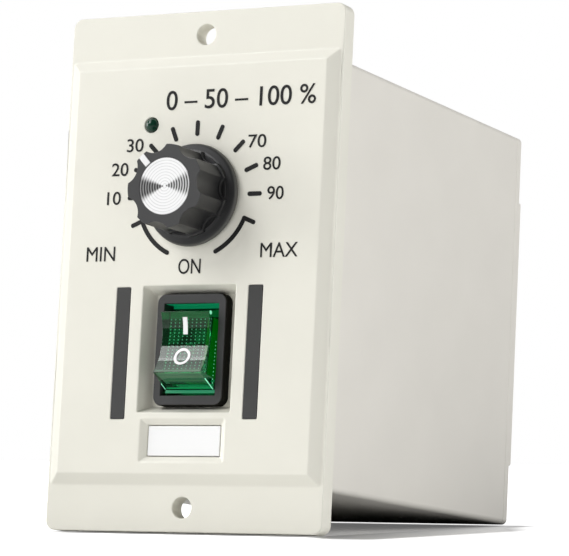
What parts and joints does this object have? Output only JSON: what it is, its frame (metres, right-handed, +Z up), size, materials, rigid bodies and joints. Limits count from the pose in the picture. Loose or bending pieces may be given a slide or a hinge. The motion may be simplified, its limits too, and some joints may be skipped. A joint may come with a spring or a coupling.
{
  "type": "dc motor speed controller",
  "caption": "Panel-mount motor speed controller: flanged ivory box, fluted dial knob with a scale, sunken green rocker switch, indicator lamp and rear wire terminals.",
  "frame": {"origin": "middle of the two mounting holes, on the rear (seating) face of the flange", "axes": "+X to the right seen from the front, +Y from the front into the case, +Z up"},
  "size_m": [0.062, 0.1169, 0.104],
  "materials": {
    "ivory_plastic": "satin moulded",
    "charcoal_plastic": "satin moulded",
    "knob_plastic": "satin moulded",
    "bezel_plastic": "fine grain",
    "bar_plastic": "satin",
    "green_lens": "translucent polished",
    "lamp_epoxy": "translucent polished",
    "white_ink": "printed",
    "black_ink": "printed",
    "white_plastic": "smooth",
    "spun_aluminium": "spun",
    "dark_aluminium": "anodised",
    "steel": "zinc plated",
    "brass": "plain",
    "board": "solder mask",
    "brown_laminate": "plain",
    "blue_sleeve": "smooth",
    "amber_film": "dipped",
    "ferrite": "ground",
    "coil_tape": "taped",
    "ceramic": "fired",
    "fuse_glass": "clear"
  },
  "bodies": {
    "housing": {"front_panel": "ivory_plastic", "case_shell": "ivory_plastic", "rear_cover": "ivory_plastic", "rear_cover_screws": "steel", "blank_plate": "white_plastic", "panel_bars": "bar_plastic", "dial_scale": "black_ink", "indicator_lamp": "lamp_epoxy", "lamp_leads": "steel", "pot_bush": "brass", "pot_washer": "steel", "pot_nut": "steel", "pot_can": "steel", "pot_track": "brown_laminate", "pot_leads": "steel", "switch_housing": "bezel_plastic", "switch_terminals": "brass", "rocker_lamp": "lamp_epoxy", "control_board": "board", "board_screws": "steel", "control_chip": "charcoal_plastic", "load_resistor": "ceramic", "board_header": "charcoal_plastic", "header_pins": "brass", "power_board": "board", "heat_sink": "dark_aluminium", "power_devices": "charcoal_plastic", "device_screws": "steel", "smoothing_capacitor": "blue_sleeve", "film_capacitor": "amber_film", "transformer_core": "ferrite", "transformer_coil": "coil_tape", "fuse": "fuse_glass", "fuse_clips": "brass", "terminal_block": "charcoal_plastic", "terminal_strips": "steel", "terminal_clamps": "brass", "terminal_screws": "steel"},
    "knob": {"knob_body": "knob_plastic", "knob_cap": "spun_aluminium", "knob_pointer": "white_ink", "knob_grub_screw": "steel", "pot_shaft": "steel", "pot_wiper": "brown_laminate"},
    "rocker": {"switch_rocker": "green_lens", "rocker_marks": "white_ink", "rocker_plunger": "white_plastic", "plunger_spring": "steel"},
    "blade": {"contact_blade": "brass"}
  },
  "joints": [
    {"name": "knob_turn", "type": "hinge", "parent": "housing", "child": "knob", "pos_m": [0, -0.01, 0.01435], "axis": [0, 1, 0], "range_deg": [-107.5, 192.5]},
    {"name": "rocker_tilt", "type": "hinge", "parent": "housing", "child": "rocker", "pos_m": [0, -0.0009, -0.01603], "axis": [1, 0, 0], "range_deg": [0, 17.4]},
    {"name": "contact_rock", "type": "hinge", "parent": "housing", "child": "blade", "pos_m": [0, 0.00645, -0.01603], "axis": [1, 0, 0], "range_deg": [-13.92, 0]}
  ],
  "couplings": [
    {"joint": "contact_rock", "follows": "rocker_tilt", "ratio": -0.8}
  ]
}
